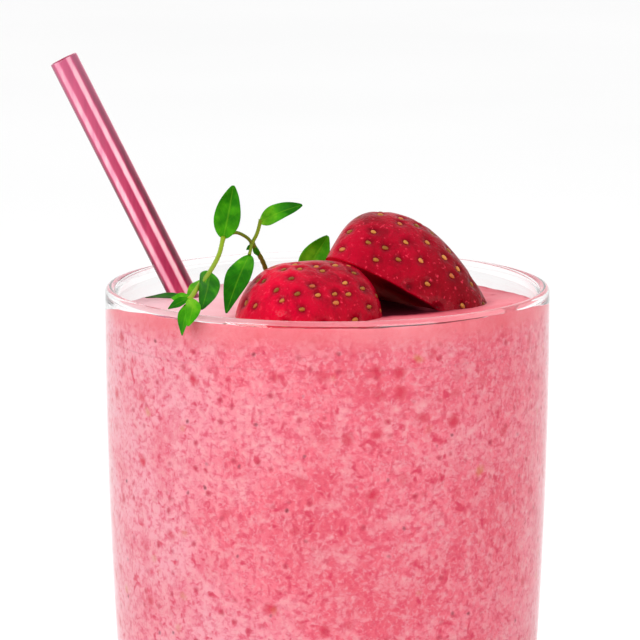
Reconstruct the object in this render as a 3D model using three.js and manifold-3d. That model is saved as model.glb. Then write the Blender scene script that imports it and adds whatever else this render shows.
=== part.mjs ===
// A glass of strawberry smoothie with a straw, two strawberry halves and a sprig of thyme.
// Millimetres, +Z up, origin at the centre of the glass's foot, +X to the right, +Y to the back.
import * as THREE from 'three';
import { mergeVertices } from 'three/addons/utils/BufferGeometryUtils.js';
import Module from 'manifold-3d';

const wasm = await Module();
wasm.setup();

// The gap between two pieces that touch.
const GAP = 0.3;

// Glass: a slightly barrel-shaped tumbler with a heavy flat foot and a beaded rim.
const GLASS_HEIGHT = 125;
const BULGE_RADIUS = 43.3;
const BULGE_DEPTH = 8;
const TAPER = 0.000431;
const WALL = 1.8;
const BASE_THICKNESS = 8;
const FOOT_CORNER = 5;
const FLOOR_CORNER = 5;
const GLASS_SIDES = 48;
const CORNER_STEPS = 3;
const WALL_STEPS = 5;
const BEAD_RADIUS = 1.25;
const BEAD_STEPS = 7;

// Drink: its surface lies a little below the rim, lower at the back left.
const LEVEL_BELOW_RIM = 5.1;
const LEVEL_RISE_RIGHT = 0.6;
const LEVEL_FALL_BACK = 0.5;
const LEVEL_WAVE = 0.2;
const SURFACE_RINGS = 5;

// Straw: a thin tube that leans on the rim at the back left.
const STRAW_DIAMETER = 5.7;
const STRAW_WALL = 0.45;
const STRAW_LEAN = THREE.MathUtils.degToRad(26.33);
const STRAW_RIM_X = -31.6;
const STRAW_Y = 20;
const STRAW_TOP_ABOVE_RIM = 42.1;
const STRAW_SIDES = 20;
const STRAW_HOLE_SPARE = 20;

// Strawberry halves: centre of the cut face, direction from hull to tip, and the way the skin faces.
const LEFT_HALF = {
  centre: new THREE.Vector3(-4.45, -6.5, GLASS_HEIGHT - 7),
  tipward: new THREE.Vector3(-0.9, -0.436, 0),
  crest: new THREE.Vector3(0, 0, 1),
  length: 28.6,
  radius: 12.3,
  depth: 12.2,
  widest: 0.59,
  hullPower: 4.7,
  hullRoot: 0.355,
  tipPower: 2.15,
  tipRoot: 0.7,
  seedRows: 8,
  seedTurn: 0.2,
};
const RIGHT_HALF = {
  centre: new THREE.Vector3(15.95, 6.35, GLASS_HEIGHT - 5.4),
  tipward: new THREE.Vector3(1, -0.126, -0.492),
  crest: new THREE.Vector3(0.622, 0.475, 1),
  length: 37.3,
  radius: 11,
  depth: 15.85,
  widest: 0.351,
  hullPower: 2.3,
  hullRoot: 0.24,
  tipPower: 1.38,
  tipRoot: 0.56,
  seedRows: 10,
  seedTurn: 0.6,
};
const BERRY_ROWS = 16;
const BERRY_COLUMNS = 12;
const BERRY_LUMP = 0.022;
const SEED_SPACING = 4.1;
const SEED_LENGTH = 1.5;
const SEED_WIDTH = 1.05;
const SEED_HEIGHT = 0.4;
const SEED_CLEAR_OF_DRINK = 1.1;

// Thyme sprig: stems and leaves.
const STEM_DIAMETER = 1.2;
const STEM_SIDES = 5;
const LEAF_THICKNESS = 0.5;
const LEAF_ROWS = 7;
const LEAF_COLUMNS = 4;

const RIM = GLASS_HEIGHT;

function outerRadius(z) {
  return BULGE_RADIUS - TAPER * (RIM - BULGE_DEPTH - z) ** 2;
}

function innerRadius(z) {
  return outerRadius(z) - WALL;
}

function drinkLevel(x, y) {
  const reach = innerRadius(RIM);
  const slope = (LEVEL_RISE_RIGHT * x - LEVEL_FALL_BACK * y) / reach;
  const wave = Math.sin(0.17 * x + 0.9) * Math.cos(0.14 * y - 0.4);
  return RIM - LEVEL_BELOW_RIM + slope + LEVEL_WAVE * wave;
}

function solidOf(geometry) {
  const bare = geometry.clone();
  bare.deleteAttribute('normal');
  bare.deleteAttribute('uv');
  const merged = mergeVertices(bare, 1e-4);
  return new wasm.Manifold(new wasm.Mesh({
    numProp: 3,
    vertProperties: new Float32Array(merged.attributes.position.array),
    triVerts: new Uint32Array(merged.index.array),
  }));
}

function geometryOf(solid) {
  const mesh = solid.getMesh();
  const geometry = new THREE.BufferGeometry();
  geometry.setAttribute('position', new THREE.BufferAttribute(mesh.vertProperties, 3));
  geometry.setIndex(new THREE.BufferAttribute(mesh.triVerts, 1));
  geometry.computeVertexNormals();
  return geometry;
}

function join(solids) {
  return solids.reduce((whole, piece) => whole.add(piece));
}

// A geometry from a list of points and a list of faces with three or four corners.
function facedGeometry(points, faces) {
  const geometry = new THREE.BufferGeometry();
  const position = points.flatMap((p) => [p.x, p.y, p.z]);
  const index = faces.flatMap((f) => (f.length === 3 ? f : [f[0], f[1], f[2], f[0], f[2], f[3]]));
  geometry.setAttribute('position', new THREE.Float32BufferAttribute(position, 3));
  geometry.setIndex(index);
  return geometry;
}

// A lathe about the vertical axis from a profile of radius and height, run from the foot upwards.
function turned(profile, sides) {
  const geometry = new THREE.LatheGeometry(profile, sides);
  return geometry.rotateX(Math.PI / 2);
}

// The points of an arc about a centre, from one angle to another.
function arc(centreR, centreZ, radius, from, to, steps) {
  const points = [];
  for (let i = 0; i <= steps; i += 1) {
    const angle = from + (to - from) * (i / steps);
    points.push(new THREE.Vector2(centreR + radius * Math.cos(angle), centreZ + radius * Math.sin(angle)));
  }
  return points;
}

function wallPoints(radiusAt, lowest, highest, steps) {
  const points = [];
  for (let i = 0; i <= steps; i += 1) {
    const z = lowest + (highest - lowest) * (i / steps);
    points.push(new THREE.Vector2(radiusAt(z), z));
  }
  return points;
}

// The profile of the inside, from the middle of the floor to a height, set in from the wall.
function cavityProfile(inset, height) {
  const floor = BASE_THICKNESS + inset;
  const cornerZ = floor + FLOOR_CORNER;
  const cornerR = innerRadius(cornerZ) - inset - FLOOR_CORNER;
  return [
    new THREE.Vector2(0, floor),
    ...arc(cornerR, cornerZ, FLOOR_CORNER, -Math.PI / 2, 0, CORNER_STEPS).slice(0, -1),
    ...wallPoints((z) => innerRadius(z) - inset, cornerZ, height, WALL_STEPS),
  ];
}

// The foot is a flat disc out to where its corner arc starts, and the rim is a round bead
// that is flush with the wall outside and stands out from it inside.
function glassMesh() {
  const beadZ = RIM - BEAD_RADIUS;
  const beadR = outerRadius(beadZ) - BEAD_RADIUS;
  const underBead = Math.acos((WALL - BEAD_RADIUS) / BEAD_RADIUS);
  const beadFoot = beadZ - BEAD_RADIUS * Math.sin(underBead);
  const cornerR = outerRadius(FOOT_CORNER) - FOOT_CORNER;
  const profile = [
    new THREE.Vector2(0, 0),
    ...arc(cornerR, FOOT_CORNER, FOOT_CORNER, -Math.PI / 2, 0, CORNER_STEPS).slice(0, -1),
    ...wallPoints(outerRadius, FOOT_CORNER, beadZ, WALL_STEPS).slice(0, -1),
    ...arc(beadR, beadZ, BEAD_RADIUS, 0, Math.PI + underBead, BEAD_STEPS).slice(0, -1),
    ...cavityProfile(0, beadFoot).reverse(),
  ];
  const material = new THREE.MeshStandardMaterial({
    color: 0xf1f5f5,
    roughness: 0.03,
    metalness: 0,
    transparent: true,
    opacity: 0.35,
  });
  const mesh = new THREE.Mesh(turned(profile, GLASS_SIDES), material);
  mesh.name = 'glass';
  return mesh;
}

// The drink before anything is cut out of it: the cavity less a gap, with an uneven top.
function drinkSolid() {
  const top = RIM - LEVEL_BELOW_RIM;
  const side = cavityProfile(GAP, top);
  const edge = side[side.length - 1].x;
  const surface = [];
  for (let ring = SURFACE_RINGS - 1; ring >= 0; ring -= 1) {
    surface.push(new THREE.Vector2(edge * (ring / SURFACE_RINGS), top));
  }
  const geometry = turned([...side, ...surface], GLASS_SIDES);
  const position = geometry.attributes.position;
  for (let i = 0; i < position.count; i += 1) {
    const isTop = Math.abs(position.getZ(i) - top) < 1e-4;
    if (isTop) position.setZ(i, drinkLevel(position.getX(i), position.getY(i)));
  }
  return solidOf(geometry);
}

function strawPlace() {
  const drop = STRAW_DIAMETER / 2 * Math.sin(STRAW_LEAN);
  const bottomZ = BASE_THICKNESS + GAP + drop;
  const topZ = RIM + STRAW_TOP_ABOVE_RIM;
  const bottomX = STRAW_RIM_X + (RIM - bottomZ) * Math.tan(STRAW_LEAN);
  const length = (topZ - bottomZ) / Math.cos(STRAW_LEAN);
  return { bottom: new THREE.Vector3(bottomX, STRAW_Y, bottomZ), length };
}

function strawMesh() {
  const { bottom, length } = strawPlace();
  const ring = new THREE.Shape();
  ring.absarc(0, 0, STRAW_DIAMETER / 2, 0, 2 * Math.PI, false);
  const bore = new THREE.Path();
  bore.absarc(0, 0, STRAW_DIAMETER / 2 - STRAW_WALL, 0, 2 * Math.PI, true);
  ring.holes.push(bore);
  const geometry = new THREE.ExtrudeGeometry(ring, {
    depth: length,
    bevelEnabled: false,
    curveSegments: STRAW_SIDES / 2,
  });
  const material = new THREE.MeshStandardMaterial({ color: 0xc24468, roughness: 0.15, metalness: 0 });
  const mesh = new THREE.Mesh(geometry, material);
  mesh.name = 'straw';
  mesh.position.copy(bottom);
  mesh.rotation.y = -STRAW_LEAN;
  return mesh;
}

// What the straw takes out of the drink: a full rod with a gap all round.
function strawHole() {
  const { bottom, length } = strawPlace();
  const radius = STRAW_DIAMETER / 2 + GAP;
  const rod = new THREE.CylinderGeometry(radius, radius, length + STRAW_HOLE_SPARE, STRAW_SIDES);
  rod.rotateX(Math.PI / 2);
  rod.translate(0, 0, length / 2);
  rod.rotateY(-STRAW_LEAN);
  rod.translate(bottom.x, bottom.y, bottom.z);
  return solidOf(rod);
}

// The radius of a half along its length, from 0 at the hull to 0 at the tip, 1 where it is widest.
function berryProfile(half, t) {
  if (t < half.widest) return (1 - (1 - t / half.widest) ** half.hullPower) ** half.hullRoot;
  return (1 - ((t - half.widest) / (1 - half.widest)) ** half.tipPower) ** half.tipRoot;
}

function berryAxes(half) {
  const along = half.tipward.clone().normalize();
  const up = half.crest.clone().addScaledVector(along, -half.crest.dot(along)).normalize();
  const across = new THREE.Vector3().crossVectors(up, along);
  return { along, up, across };
}

// A point of the skin: t runs from hull to tip, angle from one edge of the cut face to the other.
function skinPoint(half, t, angle, grow) {
  const { along, up, across } = berryAxes(half);
  const lump = 1 + BERRY_LUMP * Math.sin(3 * angle + 5 * t) * Math.sin(Math.PI * t);
  const r = berryProfile(half, t) * lump;
  const stretch = (t - 0.5) * (half.length + 2 * grow);
  return half.centre.clone()
    .addScaledVector(along, stretch)
    .addScaledVector(across, (r * (half.radius + grow)) * Math.sin(angle))
    .addScaledVector(up, (r * (half.depth + grow)) * Math.cos(angle));
}

// The half without seeds: rows of points across the skin, closed by a flat cut face.
// Where it is enlarged, it also reaches out past its cut face.
function berryCore(half, grow) {
  const { up } = berryAxes(half);
  const points = [skinPoint(half, 0, 0, grow)];
  for (let row = 1; row < BERRY_ROWS; row += 1) {
    const t = (1 - Math.cos(Math.PI * (row / BERRY_ROWS))) / 2;
    for (let column = 0; column <= BERRY_COLUMNS; column += 1) {
      const angle = Math.PI * (column / BERRY_COLUMNS - 0.5);
      points.push(skinPoint(half, t, angle, grow));
    }
  }
  points.push(skinPoint(half, 1, 0, grow));
  const wide = BERRY_COLUMNS + 1;
  const last = points.length - 1;
  const at = (row, column) => 1 + (row - 1) * wide + column;
  const faces = [];
  for (let column = 0; column < wide; column += 1) {
    const next = (column + 1) % wide;
    faces.push([0, at(1, column), at(1, next)]);
    for (let row = 1; row < BERRY_ROWS - 1; row += 1) {
      faces.push([at(row, column), at(row + 1, column), at(row + 1, next), at(row, next)]);
    }
    faces.push([at(BERRY_ROWS - 1, column), last, at(BERRY_ROWS - 1, next)]);
  }
  const core = outward(facedGeometry(points, faces));
  if (grow === 0) return core;
  return core.add(core.translate(up.clone().multiplyScalar(-grow).toArray()));
}

// A solid with its faces outward, whichever way the geometry wound.
function outward(geometry) {
  const solid = solidOf(geometry);
  if (solid.volume() > 0) return solid;
  const flipped = geometry.clone();
  const index = flipped.index.array;
  for (let i = 0; i < index.length; i += 3) [index[i + 1], index[i + 2]] = [index[i + 2], index[i + 1]];
  return solidOf(flipped);
}

// Staggered rows of seeds, each a small ellipsoid half sunk in the skin.
function berrySeeds(half) {
  const seeds = [];
  for (let row = 0; row < half.seedRows; row += 1) {
    const t = (row + 0.55) / (half.seedRows + 0.1);
    const girth = Math.PI * berryProfile(half, t) * half.radius;
    const count = Math.max(2, Math.round(girth / SEED_SPACING));
    for (let i = 0; i < count; i += 1) {
      const stagger = row % 2 === 0 ? 0.25 : 0.75;
      const share = (i + stagger) / count + 0.03 * Math.sin(7 * row + 3 * i + half.seedTurn);
      const seed = seedGeometry(half, t + 0.012 * Math.sin(5 * i + 2 * row), Math.PI * (share - 0.5));
      if (seed) seeds.push(solidOf(seed));
    }
  }
  return seeds;
}

function seedGeometry(half, t, angle) {
  const step = 0.01;
  const at = (dt, da) => skinPoint(half, t + dt, angle + da, 0);
  const place = at(0, 0);
  const along = at(step, 0).sub(at(-step, 0)).normalize();
  const round = at(0, step).sub(at(0, -step)).normalize();
  const normal = new THREE.Vector3().crossVectors(along, round).normalize();
  if (normal.dot(place.clone().sub(half.centre)) < 0) normal.negate();
  const isClear = place.z > drinkLevel(place.x, place.y) + SEED_CLEAR_OF_DRINK;
  const nearEdge = Math.abs(angle) > Math.PI / 2 - SEED_LENGTH / half.radius;
  if (!isClear || nearEdge) return null;
  const side = new THREE.Vector3().crossVectors(along, normal);
  const seed = new THREE.SphereGeometry(1, 6, 2);
  seed.scale(SEED_WIDTH / 2, SEED_LENGTH / 2, SEED_HEIGHT);
  seed.applyMatrix4(new THREE.Matrix4().makeBasis(side, along, normal));
  return seed.translate(place.x, place.y, place.z);
}

function berrySolid(half) {
  return join([berryCore(half, 0), ...berrySeeds(half)]);
}

function berryMesh(name, solid) {
  const material = new THREE.MeshStandardMaterial({ color: 0xc8102e, roughness: 0.3, metalness: 0 });
  const mesh = new THREE.Mesh(geometryOf(solid), material);
  mesh.name = name;
  return mesh;
}

// A point given by its place on the plan and its height above the rim.
function above(x, y, overRim) {
  return new THREE.Vector3(x, y, RIM + overRim);
}

// The stems: each runs through its points, thick or thin by its share of the stem diameter.
const STEM_FOOT = above(-10, 9, -14);
const FIRST_NODE = above(-14.6, -3, 8.6);
const SECOND_NODE = above(-20, -9.5, 10.6);
const SPRIG_END = above(-25.6, -33.2, 2.6);
const MIDDLE_LEAF_FOOT = above(-15.1, -4.2, 6.5);
const BACK_LEAF_FOOT = above(-5, 16.4, -1.4);
const STEMS = [
  { width: 0.9, through: [STEM_FOOT, above(-10.9, 8, -5), above(-12.2, 3, 2.9), FIRST_NODE] },
  { width: 0.65, through: [FIRST_NODE, above(-15.8, -4, 10), above(-17.8, -6.6, 11.2), SECOND_NODE] },
  {
    width: 0.85,
    through: [SECOND_NODE, above(-20.7, -14, 8), above(-22.2, -21, 5.9), above(-23.9, -28, 4.5), SPRIG_END],
  },
  { width: 0.7, through: [FIRST_NODE, above(-13.6, -3, 10.6), above(-12.9, -3, 13.2)] },
  { width: 0.6, through: [FIRST_NODE, MIDDLE_LEAF_FOOT] },
  { width: 0.8, through: [above(-10.1, 8.9, -12), above(-6.8, 13.2, -7), BACK_LEAF_FOOT] },
];

// The leaves: stalk end and tip, greatest width, the way the face looks, and how far it bows that way.
const LEAVES = [
  { foot: above(-13.1, -3, 12.7), tip: above(-4.9, -6, 16.5), width: 3.8, face: [0.2, -0.8, 0.55], bow: 0.7 },
  { foot: above(-20, -9.5, 10.4), tip: above(-18, -11, 20.9), width: 5.2, face: [-0.15, -1, 0.1], bow: -0.6 },
  { foot: MIDDLE_LEAF_FOOT, tip: above(-19.3, -14, -3.2), width: 4.9, face: [-0.25, -0.95, 0.4], bow: 0.9 },
  { foot: above(-22.2, -21, 5.9), tip: above(-23.3, -33.8, 0.9), width: 4.5, face: [0.5, -0.8, 0.6], bow: 0.6 },
  { foot: above(-22.9, -24, 5.2), tip: above(-26.2, -30.5, 1.9), width: 2.6, face: [-0.3, -0.5, 0.9], bow: 0.3 },
  { foot: above(-25.2, -32.6, 2.7), tip: above(-34.4, -21.6, 1.1), width: 1.7, face: [0.1, -0.6, 0.9], bow: 0.4 },
  { foot: above(-25.4, -33, 2.7), tip: above(-29.1, -31, 2.5), width: 1.9, face: [0, -0.9, 0.5], bow: 0.2 },
  { foot: above(-25.8, -33.2, 2.8), tip: above(-29.6, -33.6, 0.9), width: 1.8, face: [-0.1, -0.8, 0.6], bow: 0.2 },
  { foot: above(-25.4, -33.4, 2.4), tip: above(-26.9, -36.8, -3.5), width: 2.7, face: [-0.5, -0.9, 0.1], bow: 0.6 },
  { foot: above(-24.9, -33.4, 2.8), tip: above(-25.7, -38.1, -1.5), width: 3.1, face: [0.3, -1, 0.2], bow: 0.7 },
  { foot: BACK_LEAF_FOOT, tip: above(0.1, 18.5, 6.8), width: 5.6, face: [0.05, -1, 0.15], bow: 0.5 },
  { foot: above(-14.4, -3.1, 8.2), tip: above(-15.7, -3.6, 7.4), width: 1, face: [0, -1, 0.3], bow: 0 },
  { foot: above(-14.2, -2.6, 7.8), tip: above(-13.4, -1.8, 5.9), width: 1.2, face: [0, -1, 0.3], bow: 0 },
];

function stemSolid(stem, grow) {
  const radius = (STEM_DIAMETER / 2) * stem.width + grow;
  const section = new THREE.Shape();
  for (let i = 0; i < STEM_SIDES; i += 1) {
    const angle = 2 * Math.PI * (i / STEM_SIDES);
    const move = i === 0 ? 'moveTo' : 'lineTo';
    section[move](radius * Math.cos(angle), radius * Math.sin(angle));
  }
  section.closePath();
  const [first, second] = stem.through;
  const start = first.clone().add(first.clone().sub(second).setLength(grow));
  const path = new THREE.CatmullRomCurve3([start, ...stem.through.slice(1)]);
  const steps = 3 * (stem.through.length - 1);
  return solidOf(new THREE.ExtrudeGeometry(section, { steps, bevelEnabled: false, extrudePath: path }));
}

// Half the width of a leaf along its length, as a share of its greatest half width.
function leafOutline(s) {
  return 0.1 + 0.9 * Math.sin(Math.PI * s ** 0.78) ** 0.85;
}

// A thin wavy leaf: two alike faces a thickness apart, closed round the edge.
function leafSolid(leaf) {
  const along = leaf.tip.clone().sub(leaf.foot);
  const across = new THREE.Vector3(...leaf.face).cross(along).normalize();
  const facing = new THREE.Vector3().crossVectors(along, across).normalize();
  const rows = [];
  for (let row = 0; row <= LEAF_ROWS; row += 1) {
    const s = row / LEAF_ROWS;
    const bow = leaf.bow * Math.sin(Math.PI * s);
    const half = (leaf.width / 2) * (row === LEAF_ROWS ? 0.1 : leafOutline(s));
    for (let column = 0; column <= LEAF_COLUMNS; column += 1) {
      const side = (2 * column) / LEAF_COLUMNS - 1;
      const cup = 0.12 * leaf.width * side * side * Math.sin(Math.PI * s);
      const wave = 0.05 * leaf.width * Math.sin(9 * s) * side;
      rows.push(leaf.foot.clone()
        .addScaledVector(along, s)
        .addScaledVector(across, half * side)
        .addScaledVector(facing, bow + cup + wave));
    }
  }
  const back = rows.map((p) => p.clone().addScaledVector(facing, -LEAF_THICKNESS));
  return outward(facedGeometry([...rows, ...back], leafFaces(rows.length)));
}

function leafFaces(backStart) {
  const wide = LEAF_COLUMNS + 1;
  const faces = [];
  for (let row = 0; row < LEAF_ROWS; row += 1) {
    for (let column = 0; column < LEAF_COLUMNS; column += 1) {
      const a = row * wide + column;
      const quad = [a, a + 1, a + 1 + wide, a + wide];
      faces.push(quad);
      const [p, q, r, s] = quad.map((k) => k + backStart);
      faces.push([p, r, q], [p, s, r]);
    }
  }
  const border = [];
  for (let column = 0; column < LEAF_COLUMNS; column += 1) border.push(column);
  for (let row = 0; row < LEAF_ROWS; row += 1) border.push(row * wide + LEAF_COLUMNS);
  for (let column = LEAF_COLUMNS; column > 0; column -= 1) border.push(LEAF_ROWS * wide + column);
  for (let row = LEAF_ROWS; row > 0; row -= 1) border.push(row * wide);
  border.forEach((a, i) => {
    const b = border[(i + 1) % border.length];
    faces.push([b, a, a + backStart, b + backStart]);
  });
  return faces;
}

function sprigMesh() {
  const solid = join([...STEMS.map((stem) => stemSolid(stem, 0)), ...LEAVES.map(leafSolid)]);
  const material = new THREE.MeshStandardMaterial({ color: 0x4c9a23, roughness: 0.45, metalness: 0 });
  const mesh = new THREE.Mesh(geometryOf(solid), material);
  mesh.name = 'thyme_sprig';
  return mesh;
}

// What the sunk stems take out of the drink.
function sprigHole() {
  const sunk = STEMS.filter((stem) => stem.through[0].z < RIM - LEVEL_BELOW_RIM);
  return join(sunk.map((stem) => stemSolid(stem, GAP)));
}

function smoothieMesh(left, right) {
  const solid = drinkSolid().subtract(strawHole()).subtract(left).subtract(right).subtract(sprigHole());
  const material = new THREE.MeshStandardMaterial({ color: 0xf4909c, roughness: 0.5, metalness: 0 });
  const mesh = new THREE.Mesh(geometryOf(solid), material);
  mesh.name = 'smoothie';
  return mesh;
}

const leftRoom = berryCore(LEFT_HALF, GAP);
const rightRoom = berryCore(RIGHT_HALF, GAP);
const leftHalf = berrySolid(LEFT_HALF);
// The right half rests on the left one and is pressed flat where they meet.
const seedRoom = berryCore(LEFT_HALF, GAP + SEED_HEIGHT);
const rightHalf = berrySolid(RIGHT_HALF).subtract(seedRoom);

const smoothieGlass = new THREE.Group();
smoothieGlass.add(
  glassMesh(),
  smoothieMesh(leftRoom, rightRoom),
  strawMesh(),
  berryMesh('strawberry_half_left', leftHalf),
  berryMesh('strawberry_half_right', rightHalf),
  sprigMesh(),
);

export default smoothieGlass;
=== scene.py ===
import math
import random

import bmesh
import bpy
import numpy as np
from mathutils import Matrix, Vector, noise


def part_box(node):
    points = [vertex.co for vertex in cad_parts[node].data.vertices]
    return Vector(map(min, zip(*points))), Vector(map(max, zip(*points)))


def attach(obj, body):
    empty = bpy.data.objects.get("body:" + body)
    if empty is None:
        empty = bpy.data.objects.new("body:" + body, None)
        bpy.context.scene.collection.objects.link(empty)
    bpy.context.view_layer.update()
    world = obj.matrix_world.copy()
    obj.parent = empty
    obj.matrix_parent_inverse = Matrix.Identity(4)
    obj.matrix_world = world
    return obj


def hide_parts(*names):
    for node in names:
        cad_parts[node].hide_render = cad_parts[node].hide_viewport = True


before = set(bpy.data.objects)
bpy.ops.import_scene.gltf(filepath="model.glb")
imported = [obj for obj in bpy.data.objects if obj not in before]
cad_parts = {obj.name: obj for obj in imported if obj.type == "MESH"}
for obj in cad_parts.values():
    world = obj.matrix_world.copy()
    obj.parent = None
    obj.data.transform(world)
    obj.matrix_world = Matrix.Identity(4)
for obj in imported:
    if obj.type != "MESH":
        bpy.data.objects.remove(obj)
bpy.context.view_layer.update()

# Lengths below are in millimetres unless a name says otherwise, and MM turns them into metres.
MM = 0.001
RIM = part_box("glass")[1][2] / MM

# Glass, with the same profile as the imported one, but with a thinner bead at its rim.
BULGE_RADIUS = 43.27
BULGE_DEPTH = 8.0
TAPER = 0.000431
WALL = 1.8
BASE_THICKNESS = 8.0
FOOT_CORNER = 5.0
FLOOR_CORNER = 5.0
BEAD_RADIUS = 1.0
GLASS_SIDES = 192
# Faces up to this much over the inner floor are of the base's material.
BASE_MARGIN = 0.5

# Drink: it reaches this far into the wall, so that no air gap shows.
INTO_WALL = 0.15
LEVEL_BELOW_RIM = 5.1
LEVEL_RISE_RIGHT = 0.6
LEVEL_FALL_BACK = 0.5
LEVEL_WAVE = 0.2
MENISCUS_RISE = 0.12
MENISCUS_REACH = 1.6
SURFACE_RINGS = 90

# The drink's side turns smooth over this height below the rim, with an edge this ragged.
SMOOTH_BELOW_RIM = 8.0
SMOOTH_RAGGED = 3.0

# How far the edges of specks wander, in cells of their pattern.
SPECK_JITTER = 0.35

# A painted reflection of pale light grows to the left over this width of the surface.
LEFT_REFLECTION_REACH = 40.0

# Juice stain and painted shadow: a thin stain with painted contact shade where a half meets the surface, and
# a pool of painted shadow where both halves are near.
STAIN_BAND = 0.9
STAIN_WIDTH = 1.5
STAIN_STRENGTH = 0.3
SHADOW_POOL_REACHES = (12.0, 5.0)
SHADOW_POOL_STRENGTH = 1.6
STAIN_SAMPLES = 60

# A film of drink clings to the inside of the wall over the level, up to these depths below the rim.
# The angle runs round the glass in degrees, with 0 at the front and 90 at the right.
FILM_TOP = [
    (-104, 5.6), (-84, 4.4), (-70, 2.6), (-52, 1.6), (-20, 1.5), (0, 1.6),
    (30, 1.5), (52, 1.3), (66, 1.6), (78, 2.5), (96, 4.2), (112, 5.4),
]
FILM_THICKNESS = 0.35
FILM_THINNING = 0.72
FILM_LUMP = 0.07
FILM_EDGE_HEIGHT = 0.12
FILM_INTO_WALL = 0.165
FILM_FOOT = 9.5
FILM_ROWS = 26
FILM_COLUMNS = 420

# Straw.
STRAW_DIAMETER = 5.7
STRAW_WALL = 0.45
STRAW_LEAN = math.radians(26.33)
STRAW_RIM_X = -31.6
STRAW_Y = 20.0
STRAW_TOP_ABOVE_RIM = 42.1
STRAW_GAP = 0.3
STRAW_SIDES = 96
STRAW_STEPS = 40
# Painted highlights as pale stripes in each third of a turn, with painted shade between them. Each: tone,
# middle and half width in degrees. The last is their ground.
HIGHLIGHT_STRIPES = [(0.88, -29.0, 16.5), (1.0, 25.0, 13.5), (0.34, -8.0, 48.0)]

# Strawberry halves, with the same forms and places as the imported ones.
LEFT_HALF = {
    "centre": (-4.45, -6.5, RIM - 7.0),
    "tipward": (-0.9, -0.436, 0.0),
    "crest": (0.0, 0.0, 1.0),
    "length": 28.6,
    "radius": 12.3,
    "depth": 12.2,
    "widest": 0.59,
    "hull_power": 4.7,
    "hull_root": 0.355,
    "tip_power": 2.15,
    "tip_root": 0.7,
    "seed_rows": 8,
    "seed_turn": 0.2,
}
RIGHT_HALF = {
    "centre": (15.95, 6.35, RIM - 5.4),
    "tipward": (1.0, -0.126, -0.492),
    "crest": (0.622, 0.475, 1.0),
    "length": 37.3,
    "radius": 11.0,
    "depth": 15.85,
    "widest": 0.351,
    "hull_power": 2.3,
    "hull_root": 0.24,
    "tip_power": 1.38,
    "tip_root": 0.56,
    "seed_rows": 10,
    "seed_turn": 0.6,
}
BERRY_LUMP = 0.022
BERRY_ROWS = 190
BERRY_COLUMNS = 180
CUT_COLUMNS = 24
CUT_DIP = 0.25
# Painted shade: the skin darkens to the right over this width.
SKIN_SHADE_REACH = 34.0
SEED_SPACING = 4.1
SEED_LENGTH = 1.5
SEED_WIDTH = 1.0
SEED_HEIGHT = 0.42
SEED_SINK = 0.2
SEED_SIZES = (0.74, 0.94)
SEED_TURN = 0.25
SEED_RINGS = 7
SEED_SIDES = 10
DIMPLE_RADIUS = 1.25
DIMPLE_DEPTH = 0.5
DIMPLE_FALL = 1.6

# Camera: it looks at the rim from this distance and height, as the photograph does.
VIEW_DISTANCE = 700.0
VIEW_ELEVATION = math.radians(9.3)
IMAGE_PIXELS = 640
MM_PER_PIXEL = 0.195
RIM_CENTRE_PIXEL = (327.5, 284.4)
SENSOR_WIDTH = 36.0

# Light: how strong the world is, and its tone from the camera's side.
WORLD_STRENGTH = 1.14
WORLD_FRONT_TONE = 0.6
KEY_POWER = 5.6
FILL_POWER = 3.2


# Materials

class Shader:
    """A material's node tree, with short ways to add nodes to it."""

    def __init__(self, name):
        self.material = bpy.data.materials.new(name)
        self.material.use_nodes = True
        self.tree = self.material.node_tree
        self.surface = self.tree.nodes["Principled BSDF"]

    def node(self, kind, values=(), **settings):
        made = self.tree.nodes.new(kind)
        for key, value in settings.items():
            setattr(made, key, value)
        for key, value in dict(values).items():
            self.put(made.inputs[key], value)
        return made

    def put(self, socket, value):
        if isinstance(value, bpy.types.NodeSocket):
            self.tree.links.new(value, socket)
        elif isinstance(value, tuple) and len(value) == 3 and socket.type == "RGBA":
            socket.default_value = (*value, 1.0)
        else:
            socket.default_value = value

    def set(self, **values):
        for key, value in values.items():
            self.put(self.surface.inputs[key.replace("_", " ")], value)

    def position(self):
        return self.node("ShaderNodeTexCoord").outputs["Object"]

    def coordinate(self, axis):
        return self.node("ShaderNodeSeparateXYZ", {0: self.position()}).outputs[axis]

    def attribute(self, name):
        split = self.node("ShaderNodeSeparateColor")
        source = self.node("ShaderNodeAttribute", attribute_name=name)
        self.tree.links.new(source.outputs["Color"], split.inputs[0])
        return split.outputs

    def noise(self, scale, detail=3.0, roughness=0.5, distortion=0.0, where=None):
        values = {"Scale": scale, "Detail": detail, "Roughness": roughness, "Distortion": distortion}
        values["Vector"] = where or self.position()
        return self.node("ShaderNodeTexNoise", values).outputs["Fac"]

    def shifted(self, offset, stretch=(1.0, 1.0, 1.0)):
        values = {"Vector": self.position(), "Location": offset, "Scale": stretch}
        return self.node("ShaderNodeMapping", values).outputs[0]

    def ramp(self, factor, stops):
        made = self.node("ShaderNodeValToRGB", {"Fac": factor})
        elements = made.color_ramp.elements
        while len(elements) < len(stops):
            elements.new(0.5)
        for element, (place, colour) in zip(elements, stops):
            element.position = place
            element.color = (*colour, 1.0) if isinstance(colour, tuple) else (colour, colour, colour, 1.0)
        return made.outputs["Color"]

    def mix(self, factor, first, second, blend="MIX"):
        made = self.node("ShaderNodeMix", data_type="RGBA", blend_type=blend)
        self.put(made.inputs["Factor"], factor)
        self.put(made.inputs[6], first)
        self.put(made.inputs[7], second)
        return made.outputs[2]

    def math(self, operation, first, second=0.0):
        made = self.node("ShaderNodeMath", operation=operation)
        self.put(made.inputs[0], first)
        self.put(made.inputs[1], second)
        return made.outputs[0]

    def times(self, first, second):
        return self.math("MULTIPLY", first, second)

    def plus(self, first, second):
        return self.math("ADD", first, second)

    def minus(self, first, second):
        return self.math("SUBTRACT", first, second)

    def bump(self, height, strength, distance):
        values = {"Height": height, "Strength": strength, "Distance": distance}
        self.put(self.surface.inputs["Normal"], self.node("ShaderNodeBump", values).outputs[0])


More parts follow.
